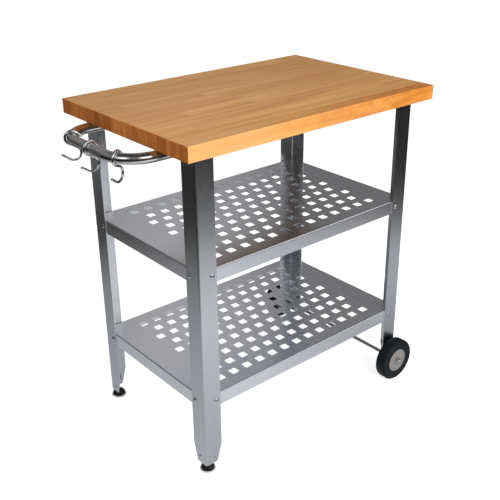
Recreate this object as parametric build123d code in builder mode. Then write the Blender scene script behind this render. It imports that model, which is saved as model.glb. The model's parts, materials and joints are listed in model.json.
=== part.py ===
from build123d import *
import os
from math import acos, atan2, cos, degrees, radians, sin

# Kitchen island cart: a butcher block top on four folded angle legs, two perforated pan shelves,
# two wheels on one axle at the right end, two levelling feet and a hanging rail at the left end.
# Millimetres, +Z up from the floor, -Y is the front, X runs along the top. The pieces are modelled
# about the middle of the top, and the last section centres the whole object's box on the origin.

# --- Work top -------------------------------------------------------------------------------
top_length = 800.0
top_depth = 533.0
top_thickness = 37.5
top_height = 890.0
top_edge_radius = 2.0
underside_z = top_height - top_thickness
wood_screw_depth = 24.0

# --- Legs: angle sheet, folded corner outward -------------------------------------------------
flange_width = 50.8
leg_sheet = 2.0
leg_bend_radius = 5.0
leg_corner_x = 359.0
leg_corner_y = 230.5
leg_bottom_z = 21.5
toe_taper_z = 75.0
toe_width = 36.5
toe_radius = 4.0
inner_face_x = leg_corner_x - leg_sheet
inner_face_y = leg_corner_y - leg_sheet

# --- Plates welded into the tops of the legs ---------------------------------------------------
top_plate_size = 56.0
top_plate_thickness = 3.0
top_plate_cut = 20.0
corner_relief = 4.0
top_screw_inset = 14.0
top_screw_reach = 42.0

# --- Shelves: pans with rims turned down -------------------------------------------------------
shelf_length = 2 * inner_face_x
shelf_depth = 2 * inner_face_y
shelf_sheet = 1.5
shelf_bend_radius = 3.0
rim_height = 37.0
deck_heights = {"upper": 572.0, "lower": 226.0}
perforation = 22.0
perforation_corner = 1.5
perforation_pitch = 44.5
perforation_rows = 9
perforations_in_long_row = 13
seam_width = 1.2

# --- Fasteners -----------------------------------------------------------------------------------
shelf_bolt_radius = 3.0
shelf_bolt_length = 14.0
shelf_bolt_head_radius = 6.0
shelf_bolt_head_height = 3.6
shelf_bolt_inset = 38.0
shelf_nut_width = 10.0
shelf_nut_height = 5.0
small_screw_radius = 2.4
small_screw_head_radius = 4.5
small_screw_head_height = 2.6
hole_clearance = 0.1

# --- Levelling feet ------------------------------------------------------------------------------
foot_inset = 14.5
foot_pad_radius = 20.5
foot_pad_height = 4.0
foot_cap_radius = 17.8
foot_cap_top_z = 18.0
foot_cap_top_radius = 8.0
foot_stem_radius = 4.0
foot_stem_top_z = 66.0
foot_nut_width = 13.0
foot_nut_height = 5.0
thread_clearance = 0.08
bracket_size = 30.0
bracket_cut = 24.0
bracket_sheet = 2.5
bracket_bottom_z = 25.0
bracket_top_z = 51.0
bracket_screw_inset = 27.0
bracket_screw_z = 39.5
bracket_screw_length = 10.0

# --- Wheels and axle -----------------------------------------------------------------------------
wheel_radius = 63.5
wheel_width = 32.0
wheel_gap = 6.0
wheel_shoulder = 6.0
hub_radius = 35.0
hub_rim = 3.0
hub_recess = 1.5
hub_boss_radius = 14.0
bush_radius = 8.0
axle_radius = 5.0
axle_x = 334.0
axle_clearance = 0.06
end_play = 0.3
spacer_radius = 9.0
washer_radius = 11.0
washer_thickness = 1.5
cap_nut_width = 17.0
cap_nut_hex_height = 6.0
cap_nut_height = 12.0
cap_nut_bore_depth = 7.0

# --- Hanging rail: bent tube under the left end of the top ------------------------------------------
rail_radius = 12.7
rail_wall = 1.5
rail_reach = 477.0
rail_arm_y = 144.0
rail_bend_radius = 80.0
rail_end_x = -250.0
rail_z = underside_z - rail_radius
rail_screw_xs = (-370.0, -280.0)
rail_access_radius = 6.0
rail_screw_seat = 10.2
rail_plug_depth = 12.0
rail_plug_cap = 2.5

# --- S hooks of round wire --------------------------------------------------------------------------
wire_radius = 3.0
hook_ring_radius = 16.5
hook_loop_radius = 17.5
hook_loop_drop = 37.0
hook_loop_offset = 2.0
hook_ring_start = 48.0
hook_loop_end = 238.0
hook_upper_tip = 13.0
hook_lower_tip = 20.0
hook_lean = 2.0
hook_bend_angle = 26.0

pieces = {}


def dome_screw(shank_radius, shank_length, head_radius, head_height, pointed=False):
    """Domed socket head above z = 0, shank below it."""
    point = 0.85 * shank_radius if pointed else 0.4
    with BuildPart() as screw:
        with BuildSketch(Plane.XZ):
            with BuildLine():
                Polyline(
                    (0, head_height),
                    (0, -shank_length),
                    (shank_radius - point, -shank_length),
                    (shank_radius, -shank_length + 2 * point),
                    (shank_radius, 0),
                    (head_radius, 0),
                    (head_radius, head_height * 0.3),
                )
                TangentArc((0, head_height), (head_radius, head_height * 0.3), tangent=(1, 0))
            make_face()
        revolve(axis=Axis.Z)
        with BuildSketch(Plane.XY.offset(head_height)):
            RegularPolygon(head_radius * 0.38, 6)
        extrude(amount=-head_height * 0.6, mode=Mode.SUBTRACT)
    return screw.part


def hex_nut(width, height, bore_radius):
    """Nut hanging below z = 0, with its corners bevelled."""
    with BuildPart() as nut:
        with BuildSketch(Plane.XY.offset(-height)):
            RegularPolygon(width / 2, 6, major_radius=False)
        extrude(amount=height)
        with BuildSketch(Plane.XY.offset(-height)):
            Circle(width * 0.575)
        extrude(amount=height, mode=Mode.INTERSECT)
        with Locations((0, 0, -height / 2)):
            Hole(bore_radius)
    return nut.part


def outward(direction_x, direction_y, position):
    """Place on a vertical face, with local +Z along the face's outward normal."""
    return Plane(origin=position, z_dir=(direction_x, direction_y, 0)).location


def flange_places(side_x, side_y, inset, height):
    """The two places at one height of a leg, inset from its corner, one on each flange."""
    on_front = (side_x * (leg_corner_x - inset), side_y * leg_corner_y, height)
    on_end = (side_x * leg_corner_x, side_y * (leg_corner_y - inset), height)
    return [outward(0, side_y, on_front), outward(side_x, 0, on_end)]


# --- Butcher block top --------------------------------------------------------------------------------
def top_screw_points(side_x, side_y):
    """Three screws through a leg's top plate."""
    near_x = side_x * (inner_face_x - top_screw_inset)
    near_y = side_y * (inner_face_y - top_screw_inset)
    far_x = side_x * (inner_face_x - top_screw_reach)
    far_y = side_y * (inner_face_y - top_screw_reach)
    return [(near_x, near_y), (far_x, near_y), (near_x, far_y)]


corners = [(side_x, side_y) for side_x in (-1, 1) for side_y in (-1, 1)]
plate_screw_points = [point for side_x, side_y in corners for point in top_screw_points(side_x, side_y)]
rail_screw_points = [(x, side_y * rail_arm_y) for x in rail_screw_xs for side_y in (-1, 1)]

with BuildPart() as butcher_block_top:
    with BuildSketch(Plane.XY.offset(underside_z)):
        Rectangle(top_length, top_depth)
    extrude(amount=top_thickness)
    fillet(butcher_block_top.edges(), radius=top_edge_radius)
    with BuildSketch(Plane.XY.offset(underside_z)):
        with Locations(*plate_screw_points, *rail_screw_points):
            Circle(small_screw_radius + hole_clearance)
    extrude(amount=wood_screw_depth + 2, mode=Mode.SUBTRACT)
pieces["butcher_block_top"] = butcher_block_top.part


# --- Legs -----------------------------------------------------------------------------------------------
def make_leg(side_x, side_y, has_wheel):
    """Folded angle leg whose flanges taper towards the floor."""
    inner_corner = (side_x * inner_face_x, side_y * inner_face_y)
    outer_corner = (side_x * leg_corner_x, side_y * leg_corner_y)
    flange_end_x = side_x * (leg_corner_x - flange_width)
    flange_end_y = side_y * (leg_corner_y - flange_width)
    beyond = flange_width + 2

    def toe_cut(side, corner):
        """Outline of what the taper removes from one flange, as (along the flange, height)."""
        outline = [(toe_width, leg_bottom_z), (flange_width, toe_taper_z), (beyond, toe_taper_z)]
        outline += [(beyond, leg_bottom_z)]
        return [(side * (corner - along), height) for along, height in outline]

    with BuildPart() as leg:
        with BuildSketch(Plane.XY.offset(leg_bottom_z)) as section:
            with BuildLine():
                Polyline(
                    outer_corner,
                    (flange_end_x, outer_corner[1]),
                    (flange_end_x, inner_corner[1]),
                    inner_corner,
                    (inner_corner[0], flange_end_y),
                    (outer_corner[0], flange_end_y),
                    close=True,
                )
            make_face()
            fillet(section.vertices().sort_by_distance((0, 0))[-1], radius=leg_bend_radius)
            inside_bend = section.vertices().sort_by_distance(inner_corner)[0]
            fillet(inside_bend, radius=leg_bend_radius - leg_sheet)
        extrude(amount=underside_z - leg_bottom_z)
        with BuildSketch(Plane.XZ):
            with BuildLine():
                Polyline(*toe_cut(side_x, leg_corner_x), close=True)
            make_face()
        extrude(amount=leg_corner_y + 1, both=True, mode=Mode.SUBTRACT)
        with BuildSketch(Plane.YZ):
            with BuildLine():
                Polyline(*toe_cut(side_y, leg_corner_y), close=True)
            make_face()
        extrude(amount=leg_corner_x + 1, both=True, mode=Mode.SUBTRACT)
        toe_corners = leg.edges().filter_by(
            lambda edge: edge.length < leg_sheet + 0.1
            and edge.bounding_box().size.Z < 0.1
            and edge.center().Z < leg_bottom_z + 0.1
        )
        fillet(toe_corners, radius=toe_radius)
        for deck_z in deck_heights.values():
            with Locations(*flange_places(side_x, side_y, shelf_bolt_inset, deck_z - rim_height / 2)):
                Hole(shelf_bolt_radius + hole_clearance, depth=2 * leg_sheet)
        if has_wheel:
            with Locations(outward(0, side_y, (side_x * axle_x, side_y * leg_corner_y, wheel_radius))):
                Hole(axle_radius + hole_clearance, depth=2 * leg_sheet)
        else:
            with Locations(*flange_places(side_x, side_y, bracket_screw_inset, bracket_screw_z)):
                Hole(small_screw_radius + hole_clearance, depth=2 * leg_sheet)
    return leg.part


def make_top_plate(side_x, side_y):
    """Plate welded inside the top of a leg, screwed up into the block."""
    centre_x = side_x * (inner_face_x - top_plate_size / 2)
    centre_y = side_y * (inner_face_y - top_plate_size / 2)
    with BuildPart() as plate:
        with BuildSketch(Plane.XY.offset(underside_z - top_plate_thickness)) as outline:
            with Locations((centre_x, centre_y)):
                Rectangle(top_plate_size, top_plate_size)
            inner = outline.vertices().sort_by_distance((0, 0))
            chamfer(inner[0], length=top_plate_cut)
            chamfer(outline.vertices().sort_by_distance((0, 0))[-1], length=corner_relief)
            with Locations(*top_screw_points(side_x, side_y)):
                Circle(small_screw_radius + hole_clearance, mode=Mode.SUBTRACT)
        extrude(amount=top_plate_thickness)
    return plate.part


side_names = {-1: "left", 1: "right"}
depth_names = {-1: "front", 1: "rear"}
for side_x, side_y in corners:
    corner_name = f"{depth_names[side_y]}_{side_names[side_x]}"
    pieces[f"leg_{corner_name}"] = make_leg(side_x, side_y, has_wheel=side_x > 0)
    pieces[f"top_plate_{corner_name}"] = make_top_plate(side_x, side_y)

wood_screw = dome_screw(
    small_screw_radius,
    wood_screw_depth + top_plate_thickness,
    small_screw_head_radius,
    small_screw_head_height,
    pointed=True,
)
with BuildPart() as top_plate_screws:
    for x, y in plate_screw_points:
        seat = Plane(origin=(x, y, underside_z - top_plate_thickness), z_dir=(0, 0, -1))
        with Locations(seat.location):
            add(wood_screw)
pieces["top_plate_screws"] = top_plate_screws.part


# --- Shelves ----------------------------------------------------------------------------------------------
def perforation_centres():
    """Staggered rows: long rows and rows with one hole less take turns, about the middle."""
    centres = []
    for row in range(perforation_rows):
        count = perforations_in_long_row - row % 2
        y = (row - (perforation_rows - 1) / 2) * perforation_pitch
        for column in range(count):
            centres.append(((column - (count - 1) / 2) * perforation_pitch, y))
    return centres


def make_shelf(deck_z):
    """Perforated pan, its rims turned down between the legs, with an open seam at each corner."""
    rim_bottom_z = deck_z - rim_height
    bolt_z = deck_z - rim_height / 2
    bolt_x = leg_corner_x - shelf_bolt_inset
    bolt_y = leg_corner_y - shelf_bolt_inset
    with BuildPart() as shelf:
        with BuildSketch(Plane.XY.offset(rim_bottom_z)):
            Rectangle(shelf_length, shelf_depth)
        extrude(amount=rim_height)
        fillet(shelf.edges().filter_by(Axis.Z), radius=shelf_bend_radius)
        fillet(shelf.edges().group_by(Axis.Z)[-1], radius=shelf_bend_radius)
        offset(amount=-shelf_sheet, openings=shelf.faces().sort_by(Axis.Z)[0])
        with BuildSketch(Plane.XY.offset(deck_z)):
            with Locations(*perforation_centres()):
                RectangleRounded(perforation, perforation, perforation_corner)
        extrude(amount=-2 * shelf_sheet, mode=Mode.SUBTRACT)
        with BuildSketch(Plane.XZ):
            with Locations((-bolt_x, bolt_z), (bolt_x, bolt_z)):
                Circle(shelf_bolt_radius + hole_clearance)
        extrude(amount=shelf_depth / 2 + 1, both=True, mode=Mode.SUBTRACT)
        with BuildSketch(Plane.YZ):
            with Locations((-bolt_y, bolt_z), (bolt_y, bolt_z)):
                Circle(shelf_bolt_radius + hole_clearance)
        extrude(amount=shelf_length / 2 + 1, both=True, mode=Mode.SUBTRACT)
        with BuildSketch(Plane.XY.offset(rim_bottom_z)):
            for side_x, side_y in corners:
                with Locations((side_x * shelf_length / 2, side_y * shelf_depth / 2)):
                    Rectangle(4 * shelf_bend_radius, seam_width, rotation=45 * side_x * side_y)
        extrude(amount=rim_height - shelf_bend_radius, mode=Mode.SUBTRACT)
    return shelf.part


shelf_bolt = dome_screw(
    shelf_bolt_radius, shelf_bolt_length, shelf_bolt_head_radius, shelf_bolt_head_height
)
shelf_nut = hex_nut(shelf_nut_width, shelf_nut_height, shelf_bolt_radius + hole_clearance)
for level, deck_z in deck_heights.items():
    bolt_z = deck_z - rim_height / 2
    bolt_places = []
    for side_x, side_y in corners:
        bolt_places += flange_places(side_x, side_y, shelf_bolt_inset, bolt_z)
    nut_places = [place * Location((0, 0, -leg_sheet - shelf_sheet)) for place in bolt_places]
    with BuildPart() as shelf_bolts:
        with Locations(*bolt_places):
            add(shelf_bolt)
    with BuildPart() as shelf_nuts:
        with Locations(*nut_places):
            add(shelf_nut)
    pieces[f"{level}_shelf"] = make_shelf(deck_z)
    pieces[f"{level}_shelf_bolts"] = shelf_bolts.part
    pieces[f"{level}_shelf_nuts"] = shelf_nuts.part


# --- Levelling feet at the left end ---------------------------------------------------------------------------
def make_foot_bracket(side_y):
    """Corner bracket inside a leg's toe: a plate with the foot's thread, and a tab down each flange."""
    plate_z = bracket_top_z - bracket_sheet
    far_x = -inner_face_x + bracket_size
    far_y = side_y * (inner_face_y - bracket_size)
    with BuildPart() as bracket:
        with BuildSketch(Plane.XY.offset(plate_z)):
            with BuildLine():
                Polyline(
                    (-inner_face_x, side_y * inner_face_y),
                    (far_x, side_y * inner_face_y),
                    (far_x, far_y + side_y * bracket_cut),
                    (far_x - bracket_cut, far_y),
                    (-inner_face_x, far_y),
                    close=True,
                )
            make_face()
        extrude(amount=bracket_sheet)
        with BuildSketch(Plane.XY.offset(bracket_bottom_z)):
            with Locations((-inner_face_x + bracket_size / 2, side_y * (inner_face_y - bracket_sheet / 2))):
                Rectangle(bracket_size, bracket_sheet)
            with Locations((-inner_face_x + bracket_sheet / 2, side_y * (inner_face_y - bracket_size / 2))):
                Rectangle(bracket_sheet, bracket_size)
        extrude(amount=bracket_top_z - bracket_bottom_z)
        with BuildSketch(Plane.XY.offset(bracket_bottom_z)):
            with Locations((-inner_face_x, side_y * inner_face_y)):
                Rectangle(2 * corner_relief, 2 * corner_relief, rotation=45)
        extrude(amount=bracket_top_z - bracket_bottom_z, mode=Mode.SUBTRACT)
        with Locations((-leg_corner_x + foot_inset, side_y * (leg_corner_y - foot_inset), plate_z)):
            Hole(foot_stem_radius + thread_clearance, depth=2 * bracket_sheet)
        with Locations(*flange_places(-1, side_y, bracket_screw_inset, bracket_screw_z)):
            Hole(small_screw_radius + hole_clearance, depth=3 * bracket_sheet)
    return bracket.part


def make_foot_cap(centre):
    """Domed cap of a foot, socketed for its stem."""
    with BuildPart() as cap:
        with BuildSketch(Plane.XZ):
            with BuildLine():
                Polyline(
                    (foot_cap_top_radius, foot_cap_top_z),
                    (0, foot_cap_top_z),
                    (0, foot_pad_height),
                    (foot_cap_radius, foot_pad_height),
                )
                ThreePointArc(
                    (foot_cap_radius, foot_pad_height),
                    (foot_cap_radius - 2.0, (foot_cap_top_z + foot_pad_height) / 2 + 1.5),
                    (foot_cap_top_radius, foot_cap_top_z),
                )
            make_face()
        revolve(axis=Axis.Z)
    return cap.part.moved(Location(centre))


def make_foot_pad(centre):
    """Floor pad under the cap, with rounded edges."""
    with BuildPart() as pad:
        with BuildSketch():
            Circle(foot_pad_radius)
        extrude(amount=foot_pad_height)
        fillet(pad.edges().group_by(Axis.Z)[0], radius=1.0)
        fillet(pad.edges().group_by(Axis.Z)[-1], radius=1.8)
    return pad.part.moved(Location(centre))


def make_foot_stem(centre):
    """Threaded stem standing on the cap."""
    with BuildPart() as stem:
        with BuildSketch(Plane.XY.offset(foot_cap_top_z)):
            Circle(foot_stem_radius)
        extrude(amount=foot_stem_top_z - foot_cap_top_z)
        chamfer(stem.edges().group_by(Axis.Z)[-1], length=0.8)
    return stem.part.moved(Location(centre))


bracket_screw = dome_screw(
    small_screw_radius, bracket_screw_length, small_screw_head_radius, small_screw_head_height
)
foot_nut = hex_nut(foot_nut_width, foot_nut_height, foot_stem_radius + thread_clearance)
foot_centres = {
    name: (-leg_corner_x + foot_inset, side_y * (leg_corner_y - foot_inset), 0)
    for side_y, name in depth_names.items()
}
for side_y, name in depth_names.items():
    pieces[f"foot_bracket_{name}"] = make_foot_bracket(side_y)
    pieces[f"foot_cap_{name}"] = make_foot_cap(foot_centres[name])
    pieces[f"foot_pad_{name}"] = make_foot_pad(foot_centres[name])
    pieces[f"foot_stem_{name}"] = make_foot_stem(foot_centres[name])

with BuildPart() as foot_lock_nuts:
    with Locations(*[(x, y, bracket_top_z - bracket_sheet) for x, y, z in foot_centres.values()]):
        add(foot_nut)
pieces["foot_lock_nuts"] = foot_lock_nuts.part

with BuildPart() as foot_bracket_screws:
    for side_y in depth_names:
        with Locations(*flange_places(-1, side_y, bracket_screw_inset, bracket_screw_z)):
            add(bracket_screw)
pieces["foot_bracket_screws"] = foot_bracket_screws.part


# --- Wheels and axle at the right end ---------------------------------------------------------------------------
# Distances out from the cart's middle plane along the axle, the same on both sides.
wheel_inner_face = leg_corner_y + wheel_gap
wheel_outer_face = wheel_inner_face + wheel_width
washer_face = wheel_outer_face + end_play
nut_face = washer_face + washer_thickness
axle_half_length = nut_face + cap_nut_bore_depth - 0.5


def axle_plane(side_y, distance):
    """Plane across the axle, its normal pointing out of the cart."""
    return Plane(origin=(axle_x, side_y * distance, wheel_radius), z_dir=(0, side_y, 0))


def ring(side_y, distance, length, outer_radius, inner_radius, edge_radius=0.0):
    """Ring on the axle, from a distance outwards."""
    with BuildPart() as collar:
        with BuildSketch(axle_plane(side_y, distance)):
            Circle(outer_radius)
            Circle(inner_radius, mode=Mode.SUBTRACT)
        extrude(amount=length)
        if edge_radius:
            rims = collar.edges().filter_by(GeomType.CIRCLE).group_by(SortBy.RADIUS)[-1]
            fillet(rims, radius=edge_radius)
    return collar.part


def make_hub(side_y):
    """Moulded hub: a rim in the tyre, a boss round the bush, and a web sunk a little between them."""
    with BuildPart() as hub:
        with BuildSketch(axle_plane(side_y, wheel_inner_face)):
            Circle(hub_radius)
            Circle(bush_radius, mode=Mode.SUBTRACT)
        extrude(amount=wheel_width)
        recess_faces = (
            (axle_plane(side_y, wheel_outer_face), -hub_recess),
            (axle_plane(side_y, wheel_inner_face), hub_recess),
        )
        for face_plane, depth in recess_faces:
            with BuildSketch(face_plane):
                Circle(hub_radius - hub_rim)
                Circle(hub_boss_radius, mode=Mode.SUBTRACT)
            extrude(amount=depth, mode=Mode.SUBTRACT)
    return hub.part


def make_cap_nut():
    """Domed hex nut, its seat on z = 0 and its blind bore open below."""
    dome_radius = cap_nut_width * 0.45
    with BuildPart() as nut:
        with BuildSketch():
            RegularPolygon(cap_nut_width / 2, 6, major_radius=False)
        extrude(amount=cap_nut_hex_height)
        with BuildSketch():
            Circle(cap_nut_width * 0.565)
        extrude(amount=cap_nut_hex_height, mode=Mode.INTERSECT)
        with BuildSketch(Plane.XZ):
            with BuildLine():
                Polyline(
                    (0, cap_nut_height),
                    (0, cap_nut_hex_height),
                    (dome_radius, cap_nut_hex_height),
                )
                TangentArc((0, cap_nut_height), (dome_radius, cap_nut_hex_height), tangent=(1, 0))
            make_face()
        revolve(axis=Axis.Z)
        with BuildSketch():
            Circle(axle_radius + hole_clearance)
        extrude(amount=cap_nut_bore_depth, mode=Mode.SUBTRACT)
    return nut.part


for side_y, name in depth_names.items():
    pieces[f"tyre_{name}"] = ring(
        side_y, wheel_inner_face, wheel_width, wheel_radius, hub_radius, edge_radius=wheel_shoulder
    )
    pieces[f"hub_{name}"] = make_hub(side_y)
    pieces[f"hub_bush_{name}"] = ring(
        side_y, wheel_inner_face, wheel_width, bush_radius, axle_radius + axle_clearance
    )

with BuildPart() as axle:
    with BuildSketch(axle_plane(-1, -axle_half_length)):
        Circle(axle_radius)
    extrude(amount=2 * axle_half_length)
    chamfer(axle.edges(), length=0.8)
pieces["axle"] = axle.part

spacer_length = wheel_gap - end_play
with BuildPart() as axle_spacers:
    for side_y in depth_names:
        add(ring(side_y, leg_corner_y, spacer_length, spacer_radius, axle_radius + hole_clearance))
pieces["axle_spacers"] = axle_spacers.part

with BuildPart() as axle_washers:
    for side_y in depth_names:
        add(ring(side_y, washer_face, washer_thickness, washer_radius, axle_radius + hole_clearance))
pieces["axle_washers"] = axle_washers.part

cap_nut = make_cap_nut()
with BuildPart() as axle_cap_nuts:
    with Locations(*[axle_plane(side_y, nut_face).location for side_y in depth_names]):
        add(cap_nut)
pieces["axle_cap_nuts"] = axle_cap_nuts.part


# --- Hanging rail at the left end -----------------------------------------------------------------------------------
with BuildPart() as hanging_rail:
    with BuildLine() as rail_path:
        FilletPolyline(
            (rail_end_x, -rail_arm_y, rail_z),
            (-rail_reach, -rail_arm_y, rail_z),
            (-rail_reach, rail_arm_y, rail_z),
            (rail_end_x, rail_arm_y, rail_z),
            radius=rail_bend_radius,
        )
    with BuildSketch(Plane(origin=rail_path.line @ 0, z_dir=rail_path.line % 0)):
        Circle(rail_radius)
        Circle(rail_radius - rail_wall, mode=Mode.SUBTRACT)
    sweep(path=rail_path.line)
    with BuildSketch(Plane.XY.offset(rail_z)):
        with Locations(*rail_screw_points):
            Circle(small_screw_radius + hole_clearance)
    extrude(amount=rail_radius, mode=Mode.SUBTRACT)
    with BuildSketch(Plane.XY.offset(rail_z)):
        with Locations(*rail_screw_points):
            Circle(rail_access_radius)
    extrude(amount=-rail_radius, mode=Mode.SUBTRACT)
pieces["hanging_rail"] = hanging_rail.part

rail_screw = dome_screw(
    small_screw_radius,
    wood_screw_depth + rail_radius - rail_screw_seat,
    small_screw_head_radius,
    small_screw_head_height,
    pointed=True,
)
with BuildPart() as rail_screws:
    for x, y in rail_screw_points:
        with Locations(Plane(origin=(x, y, rail_z + rail_screw_seat), z_dir=(0, 0, -1)).location):
            add(rail_screw)
pieces["rail_screws"] = rail_screws.part

with BuildPart() as rail_end_plugs:
    for side_y in depth_names:
        end_plane = Plane(origin=(rail_end_x, side_y * rail_arm_y, rail_z), z_dir=(1, 0, 0))
        with BuildSketch(end_plane):
            Circle(rail_radius)
        extrude(amount=rail_plug_cap)
        with BuildSketch(end_plane):
            Circle(rail_radius - rail_wall)
        extrude(amount=-rail_plug_depth)
    fillet(rail_end_plugs.edges().group_by(Axis.X)[-1], radius=1.2)
pieces["rail_end_plugs"] = rail_end_plugs.part


# --- S hooks ------------------------------------------------------------------------------------------------------------
def hook_place(side_y):
    """Place across the rail's tube, local X towards the cart and local Y up: 0 is the middle hook."""
    if side_y == 0:
        return Plane(origin=(-rail_reach, 0, rail_z), x_dir=(1, 0, 0), z_dir=(0, -1, 0)).location
    turn = radians(hook_bend_angle)
    x = -rail_reach + rail_bend_radius * (1 - cos(turn))
    y = side_y * (rail_arm_y - rail_bend_radius * (1 - sin(turn)))
    inward = (cos(turn), -side_y * sin(turn), 0)
    along = (-side_y * sin(turn), -cos(turn), 0)
    return Plane(origin=(x, y, rail_z), x_dir=inward, z_dir=along).location


# Round wire: a ring round the rail, a straight crossing underneath it, and an open loop that hangs.
# The crossing is the inner tangent of the ring's and the loop's circles.
loop_centre = Vector(hook_loop_offset, -hook_loop_drop)
centre_angle = degrees(atan2(loop_centre.Y, loop_centre.X))
tangent_angle = degrees(acos((hook_ring_radius + hook_loop_radius) / loop_centre.length))
ring_end = centre_angle - tangent_angle + 360
loop_start = ring_end - 180
with BuildPart() as hook:
    with BuildLine() as wire_path:
        ring_arc = CenterArc((0, 0), hook_ring_radius, hook_ring_start, ring_end - hook_ring_start)
        loop_arc = CenterArc(loop_centre, hook_loop_radius, loop_start, hook_loop_end - 360 - loop_start)
        Line(ring_arc @ 1, loop_arc @ 0)
        Line(ring_arc @ 0 - (ring_arc % 0) * hook_upper_tip, ring_arc @ 0)
        Line(loop_arc @ 1, loop_arc @ 1 + (loop_arc % 1) * hook_lower_tip)
    wire = wire_path.wires()[0]
    with BuildSketch(Plane(origin=wire @ 0, z_dir=wire % 0)):
        Circle(wire_radius)
    sweep(path=wire)
    with Locations(wire @ 0, wire @ 1):
        Sphere(wire_radius)

# The hook leans until its weight is straight under the rail.
balance = Location((0, 0, 0), (0, 0, -hook_lean))
hook_names = {-1: "front", 0: "middle", 1: "rear"}
for side_y, name in hook_names.items():
    pieces[f"hook_{name}"] = hook.part.moved(hook_place(side_y) * balance)


# --- Centre the whole object's box over the origin, and write the pieces -----------------------------------------------
boxes = [piece.bounding_box() for piece in pieces.values()]
left_end = min(box.min.X for box in boxes)
right_end = max(box.max.X for box in boxes)
shift_x = -(left_end + right_end) / 2

os.makedirs("parts", exist_ok=True)
for name, piece in pieces.items():
    piece = piece.moved(Location((shift_x, 0, 0)))
    piece.label = name
    export_step(piece, f"parts/{name}.step")
print("pieces", len(pieces), "shift along X", round(shift_x, 3))
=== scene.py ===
import json
import math

import bmesh
import bpy
from mathutils import Matrix, Vector

# Kitchen island cart: looks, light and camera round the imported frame. Metres, +Z up, -Y the front.

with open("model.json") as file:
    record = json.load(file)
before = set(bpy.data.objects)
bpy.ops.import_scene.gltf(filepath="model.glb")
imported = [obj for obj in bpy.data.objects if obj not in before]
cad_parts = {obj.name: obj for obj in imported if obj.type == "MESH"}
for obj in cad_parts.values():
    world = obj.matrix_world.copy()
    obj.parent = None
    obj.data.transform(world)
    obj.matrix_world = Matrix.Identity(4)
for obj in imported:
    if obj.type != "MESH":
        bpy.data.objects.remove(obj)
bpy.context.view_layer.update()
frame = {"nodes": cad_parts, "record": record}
nodes = frame["nodes"]
scene = bpy.context.scene


# --- Node helpers ------------------------------------------------------------------------------
NOISE_ROUGHNESS = 0.55


class Shader:
    """A material under construction: a Principled shader and the nodes that feed it."""

    def __init__(self, name):
        self.material = bpy.data.materials.new(name)
        self.material.use_nodes = True
        self.tree = self.material.node_tree
        self.bsdf = self.tree.nodes["Principled BSDF"]

    def put(self, socket, value):
        """Set a socket to a number, a tuple or another node's output."""
        if isinstance(value, bpy.types.NodeSocket):
            self.tree.links.new(value, socket)
        elif value is not None:
            socket.default_value = value

    def node(self, kind, inputs=(), **settings):
        """Add a node, with its settings and its inputs given as {socket: value}."""
        new = self.tree.nodes.new(kind)
        for key, value in settings.items():
            setattr(new, key, value)
        for key, value in dict(inputs).items():
            self.put(new.inputs[key], value)
        return new

    def math(self, operation, a, b=None):
        new = self.node("ShaderNodeMath", operation=operation)
        for index, value in enumerate((a, b)):
            self.put(new.inputs[index], value)
        return new.outputs[0]

    def hypotenuse(self, a, b):
        squares = self.math("MULTIPLY", a, a), self.math("MULTIPLY", b, b)
        return self.math("SQRT", self.math("ADD", *squares))

    def place(self):
        """Object coordinates, which are the frame's own metres."""
        return self.node("ShaderNodeTexCoord").outputs["Object"]

    def axes(self, vector):
        split = self.node("ShaderNodeSeparateXYZ", {"Vector": vector})
        return split.outputs["X"], split.outputs["Y"], split.outputs["Z"]

    def vector(self, x, y, z):
        return self.node("ShaderNodeCombineXYZ", {"X": x, "Y": y, "Z": z}).outputs[0]

    def stretch(self, vector, scale):
        """Scale coordinates unevenly, so that noise runs in streaks."""
        return self.node("ShaderNodeMapping", {"Vector": vector, "Scale": scale}).outputs[0]

    def noise(self, vector, scale, detail=3.0, distortion=0.0):
        settings = {"Vector": vector, "Scale": scale, "Detail": detail}
        settings.update({"Roughness": NOISE_ROUGHNESS, "Distortion": distortion})
        return self.node("ShaderNodeTexNoise", settings).outputs["Fac"]

    def random(self, value):
        """One random number for each whole number."""
        return self.node("ShaderNodeTexWhiteNoise", {"W": value}, noise_dimensions="1D").outputs["Value"]

    def remap(self, value, low, high, new_low, new_high):
        settings = {"Value": value, "From Min": low, "From Max": high}
        settings.update({"To Min": new_low, "To Max": new_high})
        return self.node("ShaderNodeMapRange", settings).outputs[0]

    def ramp(self, value, stops):
        """Colour ramp from (position, colour) stops."""
        new = self.node("ShaderNodeValToRGB", {"Fac": value})
        elements = new.color_ramp.elements
        for index, (position, colour) in enumerate(stops):
            element = elements[index] if index < 2 else elements.new(position)
            element.position = position
            element.color = (*colour, 1.0)
        return new.outputs["Color"]

    def mix(self, factor, first, second, blend="MIX"):
        new = self.node("ShaderNodeMix", {"Factor": factor}, data_type="RGBA", blend_type=blend)
        for socket, value in ((new.inputs[6], first), (new.inputs[7], second)):
            self.put(socket, (*value, 1.0) if isinstance(value, tuple) else value)
        return new.outputs[2]

    def bump(self, height, strength, distance):
        settings = {"Height": height, "Strength": strength, "Distance": distance}
        return self.node("ShaderNodeBump", settings).outputs[0]

    def finish(self, **sockets):
        """Fill the Principled shader: underscores in a name stand for spaces."""
        for key, value in sockets.items():
            socket = self.bsdf.inputs[key.replace("_", " ")]
            self.put(socket, (*value, 1.0) if isinstance(value, tuple) and len(value) == 3 else value)
        return self.material


# --- Materials ---------------------------------------------------------------------------------
STAVE_WIDTH = 0.0381


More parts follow.
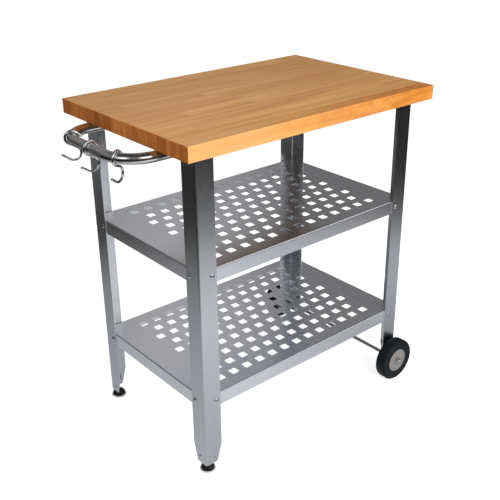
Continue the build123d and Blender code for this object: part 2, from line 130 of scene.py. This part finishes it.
def maple_block():
    """Edge-glued maple staves along X: long grain on top and front, end grain on the two ends."""
    s = Shader("maple_block")
    place = s.place()
    x, y, z = s.axes(place)
    stave = s.math("FLOOR", s.math("DIVIDE", y, STAVE_WIDTH))
    tone = s.random(s.math("ADD", stave, 41.3))
    across = s.math("FRACT", s.math("DIVIDE", y, STAVE_WIDTH))
    # Each stave is cut from boards of different colour, joined end to end
    joint = s.math("FLOOR", s.math("DIVIDE", s.math("ADD", x, s.math("MULTIPLY", tone, 0.9)), 0.61))
    board = s.random(s.math("ADD", s.math("MULTIPLY", stave, 17.0), joint))
    own = s.vector(s.math("ADD", x, s.math("MULTIPLY", board, 7.0)), y, s.math("ADD", z, board))
    broad = s.noise(s.stretch(own, (1.6, 26.0, 26.0)), 1.0, detail=4.0, distortion=0.6)
    figure = s.noise(s.stretch(own, (4.0, 95.0, 95.0)), 1.0, detail=3.0, distortion=0.4)
    fibre = s.noise(s.stretch(own, (22.0, 900.0, 900.0)), 1.0, detail=2.0)
    grain = s.math("ADD", s.math("MULTIPLY", broad, 0.72), s.math("MULTIPLY", figure, 0.28))
    grain_colours = [(0.34, (0.52, 0.235, 0.058)), (0.50, (0.69, 0.360, 0.110)), (0.66, (0.84, 0.480, 0.170))]
    pale_grain = s.ramp(grain, grain_colours)
    toned = s.mix(s.math("MULTIPLY", board, 0.55), pale_grain, (0.61, 0.275, 0.082))
    blush = s.noise(s.stretch(own, (2.2, 12.0, 12.0)), 1.0, detail=2.0)
    toned = s.mix(s.remap(blush, 0.45, 0.70, 0.0, 0.40), toned, (0.66, 0.285, 0.115))
    # The front stave has flame figure, straw yellow at the rail end and orange at the wheel end
    front_stave = s.remap(y, -0.2290, -0.2280, 1.0, 0.0)
    flame = s.noise(s.stretch(own, (16.0, 30.0, 42.0)), 1.0, detail=3.0, distortion=1.2)
    straw = s.math("MULTIPLY", s.remap(x, -0.30, 0.10, 1.0, 0.0), front_stave)
    toned = s.mix(straw, toned, (1.02, 1.12, 1.22), "MULTIPLY")
    orange = s.math("MULTIPLY", s.remap(x, -0.20, 0.42, 0.0, 1.0), front_stave)
    deep = s.ramp(flame, [(0.35, (0.74, 0.46, 0.12)), (0.65, (0.98, 0.80, 0.42))])
    toned = s.mix(orange, toned, deep, "MULTIPLY")
    fibred = s.mix(s.remap(fibre, 0.35, 0.75, 0.0, 0.22), toned, (0.42, 0.17, 0.045))
    flecks = s.noise(s.stretch(own, (60.0, 420.0, 420.0)), 1.0, detail=1.0)
    long_grain = s.mix(s.remap(flecks, 0.66, 0.74, 0.0, 0.25), fibred, (0.36, 0.16, 0.055))
    # End grain: curved growth rings about a far centre, one for each stave, and fine pores
    ring_y = s.math("SUBTRACT", across, s.remap(s.random(s.math("ADD", stave, 7.0)), 0.0, 1.0, -1.2, 2.2))
    ring_z = s.math("ADD", s.math("DIVIDE", z, STAVE_WIDTH), s.math("MULTIPLY", tone, 5.0))
    radius = s.hypotenuse(ring_y, ring_z)
    wobble = s.noise(s.stretch(place, (1.0, 90.0, 90.0)), 1.0, detail=2.0)
    rings = s.math("SINE", s.math("MULTIPLY", s.math("ADD", radius, s.math("MULTIPLY", wobble, 0.12)), 52.0))
    pores = s.noise(s.stretch(place, (40.0, 1500.0, 1500.0)), 1.0, detail=2.0)
    end_mix = s.math("ADD", s.remap(rings, -1.0, 1.0, 0.0, 0.20), s.remap(pores, 0.3, 0.7, 0.0, 0.26))
    mottle = s.noise(s.stretch(place, (1.0, 60.0, 14.0)), 1.0, detail=3.0)
    end_shade = s.math("ADD", s.math("MULTIPLY", tone, 0.36), s.remap(mottle, 0.3, 0.7, 0.0, 0.40))
    end_tone = s.math("ADD", end_mix, end_shade)
    end_colours = [(0.15, (0.58, 0.215, 0.046)), (0.5, (0.41, 0.125, 0.020)), (0.95, (0.23, 0.062, 0.010))]
    end_grain = s.ramp(end_tone, end_colours)
    facing = s.axes(s.node("ShaderNodeTexCoord").outputs["Normal"])
    on_end = s.remap(s.math("ABSOLUTE", facing[0]), 0.6, 0.8, 0.0, 1.0)
    wood = s.mix(on_end, long_grain, end_grain)
    # Glue lines between the staves, seen on the top, the underside and the ends
    edge = s.math("ABSOLUTE", s.math("SUBTRACT", across, 0.5))
    sideways = s.remap(s.math("ABSOLUTE", facing[1]), 0.4, 0.6, 1.0, 0.0)
    glue = s.math("MULTIPLY", s.remap(edge, 0.484, 0.498, 0.0, 1.0), sideways)
    glue_tone = s.mix(on_end, (0.25, 0.105, 0.035), (0.72, 0.34, 0.10))
    wood = s.mix(s.math("MULTIPLY", glue, 0.45), wood, glue_tone)
    roughness = s.math("ADD", s.remap(fibre, 0.3, 0.7, 0.36, 0.48), s.math("MULTIPLY", on_end, 0.12))
    relief = s.math("ADD", s.math("MULTIPLY", fibre, 0.5), s.math("MULTIPLY", pores, 0.3))
    height = s.math("SUBTRACT", relief, glue)
    return s.finish(
        Base_Color=wood,
        Roughness=roughness,
        Normal=s.bump(height, 0.12, 0.0006),
        Specular_IOR_Level=0.30,
        Coat_Weight=0.04,
        Coat_Roughness=0.25,
    )


def brushed_steel(name, colour, along, roughness, streak=0.10, bump=0.05, smudge=0.05):
    """Satin stainless sheet: fine streaks and broader bands along one axis, and faint smudges."""
    s = Shader(name)
    place = s.place()
    fine = [1600.0, 1600.0, 1600.0]
    coarse = [260.0, 260.0, 260.0]
    fine["XYZ".index(along)] = 18.0
    coarse["XYZ".index(along)] = 3.0
    lines = s.noise(s.stretch(place, fine), 1.0, detail=2.0)
    bands = s.noise(s.stretch(place, coarse), 1.0, detail=3.0)
    cloud = s.noise(place, 5.0, detail=2.0)
    brushed = s.math("ADD", s.math("MULTIPLY", lines, 0.6), s.math("MULTIPLY", bands, 0.4))
    dark = tuple(channel * (1 - 1.6 * streak) for channel in colour)
    light = tuple(min(1.0, channel * (1 + streak)) for channel in colour)
    tint = s.ramp(brushed, [(0.30, dark), (0.70, light)])
    dulled = tuple(channel * 0.86 for channel in colour)
    tint = s.mix(s.remap(cloud, 0.35, 0.75, 0.0, smudge * 4), tint, dulled)
    brush_rough = s.remap(lines, 0.3, 0.7, roughness - 0.03, roughness + 0.04)
    rough = s.math("ADD", brush_rough, s.remap(cloud, 0.3, 0.7, -smudge, smudge))
    return s.finish(
        Base_Color=tint,
        Metallic=1.0,
        Roughness=rough,
        Normal=s.bump(lines, bump, 0.0002),
    )


def bright_metal(name, colour, roughness, grain_scale=900.0):
    """Polished or plated metal: faint uneven polish and a few soft marks."""
    s = Shader(name)
    place = s.place()
    polish = s.noise(place, grain_scale, detail=2.0)
    marks = s.noise(place, 55.0, detail=3.0)
    tint = s.mix(s.remap(marks, 0.45, 0.75, 0.0, 0.35), colour, tuple(channel * 0.8 for channel in colour))
    polish_rough = s.remap(polish, 0.3, 0.7, roughness * 0.7, roughness * 1.3)
    rough = s.math("ADD", polish_rough, s.remap(marks, 0.5, 0.8, 0.0, 0.06))
    return s.finish(
        Base_Color=tint,
        Metallic=1.0,
        Roughness=rough,
        Normal=s.bump(polish, 0.02, 0.0003),
    )


def moulded(name, colour, roughness, bump=0.12, dust=0.0, dust_colour=(0.3, 0.3, 0.3), sheen=0.5):
    """Moulded plastic or rubber: pebbled skin, uneven sheen and a little dust."""
    s = Shader(name)
    place = s.place()
    pebble = s.noise(place, 700.0, detail=2.0)
    cloud = s.noise(place, 38.0, detail=4.0)
    darker = tuple(channel * 0.72 for channel in colour)
    tint = s.mix(s.remap(cloud, 0.3, 0.7, 0.0, 1.0), colour, darker)
    tint = s.mix(s.remap(cloud, 0.5, 0.8, 0.0, dust), tint, dust_colour)
    pebble_rough = s.remap(pebble, 0.3, 0.7, roughness - 0.06, roughness + 0.06)
    rough = s.math("ADD", pebble_rough, s.remap(cloud, 0.3, 0.7, -0.05, 0.05))
    return s.finish(
        Base_Color=tint,
        Roughness=rough,
        Normal=s.bump(pebble, bump, 0.0005),
        Specular_IOR_Level=sheen,
    )


LEG_COLOUR = (0.595, 0.61, 0.63)
SHELF_COLOUR = (0.81, 0.82, 0.86)
TYRE_COLOUR = (0.003, 0.006, 0.008)
TYRE_DUST = (0.03, 0.035, 0.04)
HUB_COLOUR = (0.275, 0.262, 0.250)
HUB_DUST = (0.15, 0.14, 0.13)
FOOT_COLOUR = (0.004, 0.004, 0.005)

materials = {
    "maple_block": maple_block(),
    "leg_steel": brushed_steel(
        "leg_steel", LEG_COLOUR, along="Z", roughness=0.24, streak=0.05, bump=0.015, smudge=0.02
    ),
    "shelf_steel": brushed_steel(
        "shelf_steel", SHELF_COLOUR, along="X", roughness=0.25, streak=0.03, bump=0.008, smudge=0.01
    ),
    "bracket_steel": brushed_steel("bracket_steel", (0.50, 0.51, 0.52), along="Z", roughness=0.38),
    "rail_steel": bright_metal("rail_steel", (0.74, 0.73, 0.72), roughness=0.13),
    "hook_wire": bright_metal("hook_wire", (0.82, 0.87, 0.88), roughness=0.09),
    "axle_steel": bright_metal("axle_steel", (0.32, 0.32, 0.33), roughness=0.32),
    "fastener_zinc": bright_metal(
        "fastener_zinc", (0.62, 0.64, 0.66), roughness=0.09, grain_scale=1500.0
    ),
    "tyre_rubber": moulded(
        "tyre_rubber", TYRE_COLOUR, roughness=0.38, dust=0.05, dust_colour=TYRE_DUST, sheen=0.24
    ),
    "hub_plastic": moulded("hub_plastic", HUB_COLOUR, roughness=0.50, dust=0.12, dust_colour=HUB_DUST),
    "bush_plastic": moulded("bush_plastic", (0.70, 0.67, 0.58), roughness=0.45),
    "foot_plastic": moulded(
        "foot_plastic", FOOT_COLOUR, roughness=0.22, bump=0.05, dust=0.02, sheen=0.35
    ),
    "foot_pad_plastic": moulded("foot_pad_plastic", (0.55, 0.57, 0.57), roughness=0.36),
    "plug_plastic": moulded("plug_plastic", (0.02, 0.02, 0.02), roughness=0.42),
}
for row in frame["record"]["subparts"]:
    finish = materials[row["material_slot"]]
    slots = nodes[row["node"]].material_slots
    for slot in slots:
        slot.material = finish


# --- Stage, light and camera -------------------------------------------------------------------
def stage_object(name, mesh, material, camera=True, diffuse=True, glossy=True):
    """Something of the studio: what kinds of ray see it is set here."""
    obj = bpy.data.objects.new(name, mesh)
    scene.collection.objects.link(obj)
    mesh.materials.append(material)
    obj.visible_camera = camera
    obj.visible_diffuse = diffuse
    obj.visible_glossy = glossy
    obj.visible_shadow = camera
    obj.visible_transmission = camera


def disc_mesh(name, radius, height):
    mesh = bpy.data.meshes.new(name)
    shape = bmesh.new()
    lift = Matrix.Translation((0, 0, height))
    bmesh.ops.create_circle(shape, cap_ends=True, radius=radius, segments=96, matrix=lift)
    shape.to_mesh(mesh)
    shape.free()
    return mesh


def dome_mesh(name, radius):
    mesh = bpy.data.meshes.new(name)
    shape = bmesh.new()
    bmesh.ops.create_uvsphere(shape, u_segments=64, v_segments=32, radius=radius)
    shape.to_mesh(mesh)
    shape.free()
    return mesh


def glow(name, colour_of):
    """Emission whose colour a function works out from the shader's own nodes."""
    s = Shader(name)
    emission = s.node("ShaderNodeEmission", {"Color": colour_of(s), "Strength": 1.0})
    output = s.tree.nodes["Material Output"]
    s.tree.links.new(emission.outputs[0], output.inputs["Surface"])
    return s.material


CARD_CENTRE = (0.17, -0.05)
CARD_REACH = 2.15
CART_SHADOW_SPOT = (0.52, -0.38, 0.0)


def floor_reflection(s):
    """The lit floor, brighter toward the front, and the dark studio beyond it."""
    x, y, _ = s.axes(s.place())
    away_x = s.math("SUBTRACT", x, CARD_CENTRE[0])
    away_y = s.math("SUBTRACT", y, CARD_CENTRE[1])
    away = s.hypotenuse(away_x, away_y)
    side = s.remap(s.math("SUBTRACT", x, y), -1.3, 1.1, 0.36, 1.0)
    right = s.remap(x, 0.0, 0.75, 1.0, 0.62)
    # Painted shadow of the cart: a patch by the front wheel is a little darker
    by_wheel = s.node("ShaderNodeVectorMath", {0: s.place(), 1: CART_SHADOW_SPOT}, operation="DISTANCE")
    shade = s.remap(by_wheel.outputs["Value"], 0.05, 0.42, 0.66, 1.0)
    near_levels = ((0.10, 0.78), (0.38, 1.0), (0.55, 1.0), (0.62, 0.78))
    far_levels = ((0.70, 0.44), (0.77, 0.17), (0.85, 0.06), (1.0, 0.04))
    levels = near_levels + far_levels
    # Cool where the floor is bright, a little warm where it falls dark
    falloff = [(position, (v * (1.05 - 0.08 * v), v, v * (0.90 + 0.15 * v))) for position, v in levels]
    lit = s.ramp(s.remap(away, 0.0, CARD_REACH, 0.0, 1.0), falloff)
    near = s.mix(s.math("MULTIPLY", s.math("MULTIPLY", side, right), shade), (0.0, 0.0, 0.0), lit)
    # The floor is lighter again far behind the rail end
    rearward = s.remap(s.math("ADD", x, y), 0.42, 0.85, 0.0, 1.0)
    behind = s.math("MULTIPLY", rearward, s.remap(x, -0.6, -0.2, 1.0, 0.0))
    return s.mix(behind, near, (0.22, 0.22, 0.22))


def studio_reflection(s):
    """Dark studio with a tall bright screen round the front left and dimmer walls behind."""
    direction = s.node("ShaderNodeVectorMath", {"Vector": s.place()}, operation="NORMALIZE").outputs[0]
    x, y, z = s.axes(direction)
    height = s.remap(z, -1.0, 1.0, 0.0, 1.0)
    low_grey = ((0.40, 0.03), (0.54, 0.04), (0.61, 0.12), (0.68, 0.14))
    grey = low_grey + ((0.73, 0.17), (0.78, 0.25), (0.85, 0.20), (0.94, 0.06))
    walls = s.ramp(height, [(position, (value,) * 3) for position, value in grey])
    bright = ((0.54, 0.04), (0.62, 0.15), (0.68, 1.1), (0.74, 1.9), (0.80, 1.6), (0.88, 0.3), (0.93, 0.05))
    screen = s.ramp(height, [(position, (value,) * 3) for position, value in bright])

    def toward(azimuth, inner, outer):
        """1 within the inner angle of a compass direction, 0 beyond the outer one."""
        a = math.radians(azimuth)
        level = s.hypotenuse(x, y)
        along = s.math("ADD", s.math("MULTIPLY", x, math.sin(a)), s.math("MULTIPLY", y, math.cos(a)))
        cosine = s.math("DIVIDE", along, s.math("MAXIMUM", level, 0.001))
        return s.remap(cosine, math.cos(math.radians(outer)), math.cos(math.radians(inner)), 0.0, 1.0)

    lit_wall = s.mix(1.0, walls, (2.3, 2.3, 2.36), "MULTIPLY")
    walls = s.mix(toward(32.0, inner=3.0, outer=13.0), walls, lit_wall)
    walls = s.mix(toward(133.0, inner=8.0, outer=22.0), walls, screen)
    # The screen goes round the front left, with a dark gap where the camera stands
    around = toward(-155.0, inner=52.0, outer=72.0)
    camera_gap = toward(-137.0, inner=10.0, outer=24.0)
    open_screen = s.math("SUBTRACT", around, camera_gap)
    return s.mix(s.math("MAXIMUM", open_screen, 0.0), walls, screen)


# The card and the walls are for glossy rays alone; the camera sees the floor and the backdrop
FLOOR_RADIUS = 14.0
FLOOR_GLOW = 0.64
CARD_RADIUS = 5.0
CARD_HEIGHT = -0.001
WALLS_RADIUS = 7.0
BACKDROP_RADIUS = 15.0

floor_shader = Shader("studio_floor")
floor_cloud = floor_shader.noise(floor_shader.place(), 0.8, detail=2.0)
floor_tint = floor_shader.ramp(floor_cloud, [(0.3, (0.78, 0.78, 0.78)), (0.7, (0.80, 0.80, 0.80))])
floor_shader.finish(
    Base_Color=floor_tint,
    Roughness=0.9,
    Specular_IOR_Level=0.1,
    Emission_Color=(1.0, 1.0, 1.0),
    Emission_Strength=FLOOR_GLOW,
)
floor_mesh = disc_mesh("studio_floor", FLOOR_RADIUS, 0.0)
stage_object("studio_floor", floor_mesh, floor_shader.material, diffuse=False, glossy=False)
card_mesh = disc_mesh("floor_reflection", CARD_RADIUS, CARD_HEIGHT)
card_glow = glow("floor_reflection", floor_reflection)
stage_object("floor_reflection", card_mesh, card_glow, camera=False, diffuse=False)
walls_mesh = dome_mesh("studio_walls", WALLS_RADIUS)
walls_glow = glow("studio_walls", studio_reflection)
stage_object("studio_walls", walls_mesh, walls_glow, camera=False, diffuse=False)
backdrop_mesh = dome_mesh("white_backdrop", BACKDROP_RADIUS)
backdrop_glow = glow("white_backdrop", lambda s: (1.0, 1.0, 1.0, 1.0))
stage_object("white_backdrop", backdrop_mesh, backdrop_glow, diffuse=False, glossy=False)

world = bpy.data.worlds.new("studio")
scene.world = world
world.use_nodes = True
sky = world.node_tree
sky_place = sky.nodes.new("ShaderNodeTexCoord")
sky_split = sky.nodes.new("ShaderNodeSeparateXYZ")
sky_range = sky.nodes.new("ShaderNodeMapRange")
for socket, value in (("From Min", -0.5), ("From Max", 0.3), ("To Min", 0.09), ("To Max", 0.52)):
    sky_range.inputs[socket].default_value = value
sky.links.new(sky_place.outputs["Generated"], sky_split.inputs[0])
sky.links.new(sky_split.outputs["Z"], sky_range.inputs["Value"])
sky.links.new(sky_range.outputs[0], sky.nodes["Background"].inputs["Strength"])
sky.nodes["Background"].inputs["Color"].default_value = (1.0, 1.0, 1.0, 1.0)


LAMP_AIM = Vector((0.0, 0.0, 0.5))


def soft_box(name, azimuth, elevation, distance, size, power):
    """Square area light in a compass direction from the cart, seen by no glossy ray."""
    a = math.radians(azimuth)
    e = math.radians(elevation)
    offset = Vector((math.sin(a) * math.cos(e), math.cos(a) * math.cos(e), math.sin(e))) * distance
    light = bpy.data.lights.new(name, "AREA")
    light.size = size
    light.energy = power
    lamp = bpy.data.objects.new(name, light)
    lamp.location = LAMP_AIM + offset
    lamp.rotation_euler = (-offset).to_track_quat("-Z", "Y").to_euler()
    lamp.visible_glossy = False
    scene.collection.objects.link(lamp)


soft_box("key", azimuth=182.0, elevation=24.0, distance=2.7, size=1.6, power=88.0)
soft_box("fill", azimuth=-100.0, elevation=12.0, distance=3.4, size=2.0, power=42.0)

LENS_MM = 57.18
SENSOR_MM = 36.0
CAMERA_PLACE = Vector((-1.2467, -1.5376, 1.3883))
CAMERA_AZIMUTH = math.radians(40.56)
CAMERA_ELEVATION = math.radians(24.31)
CAMERA_ROLL = math.radians(-0.35)
CAMERA_SHIFT = (-0.0168, -0.0259)


def make_camera():
    """Camera at the place, angle and lens worked out from the photograph's perspective."""
    level = math.cos(CAMERA_ELEVATION)
    forward = Vector((
        math.sin(CAMERA_AZIMUTH) * level,
        math.cos(CAMERA_AZIMUTH) * level,
        -math.sin(CAMERA_ELEVATION),
    ))
    right = Vector((math.cos(CAMERA_AZIMUTH), -math.sin(CAMERA_AZIMUTH), 0.0))
    up = right.cross(forward)
    tilted_right = right * math.cos(CAMERA_ROLL) + up * math.sin(CAMERA_ROLL)
    tilted_up = up * math.cos(CAMERA_ROLL) - right * math.sin(CAMERA_ROLL)
    turn = Matrix((tilted_right, tilted_up, -forward)).transposed()
    data = bpy.data.cameras.new("camera")
    data.lens = LENS_MM
    data.sensor_width = SENSOR_MM
    data.shift_x, data.shift_y = CAMERA_SHIFT
    camera = bpy.data.objects.new("camera", data)
    camera.matrix_world = Matrix.Translation(CAMERA_PLACE) @ turn.to_4x4()
    scene.collection.objects.link(camera)
    scene.camera = camera


make_camera()
scene.view_settings.view_transform = "Standard"
